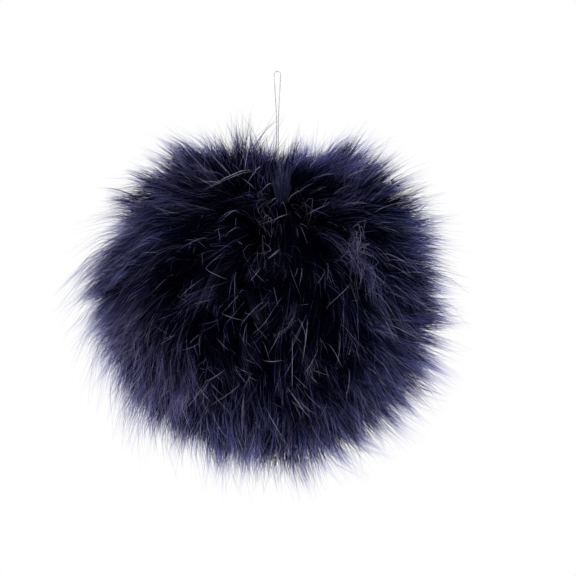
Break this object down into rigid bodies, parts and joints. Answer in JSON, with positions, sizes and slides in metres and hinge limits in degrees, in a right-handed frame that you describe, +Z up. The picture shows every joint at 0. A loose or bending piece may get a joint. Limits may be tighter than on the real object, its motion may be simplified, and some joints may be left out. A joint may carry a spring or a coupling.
{
  "type": "hanging fur pom pom",
  "caption": "Round pom pom of long-haired fur, gathered at the top, with its locks standing out all round, hanging on a fine doubled thread that ends in a loop.",
  "frame": {"origin": "the top of the thread's loop, where the pom pom hangs", "axes": "+Z up along the taut thread, the front seen looking along +Y with +X to the right"},
  "size_m": [0.1245, 0.1194, 0.1361],
  "materials": {
    "fur": "soft navy fur, darker at the roots and paler at the tips",
    "thread": "fine grey filament"
  },
  "bodies": {
    "root": {"pom_pom": "fur", "hang_thread": "thread"}
  },
  "joints": []
}
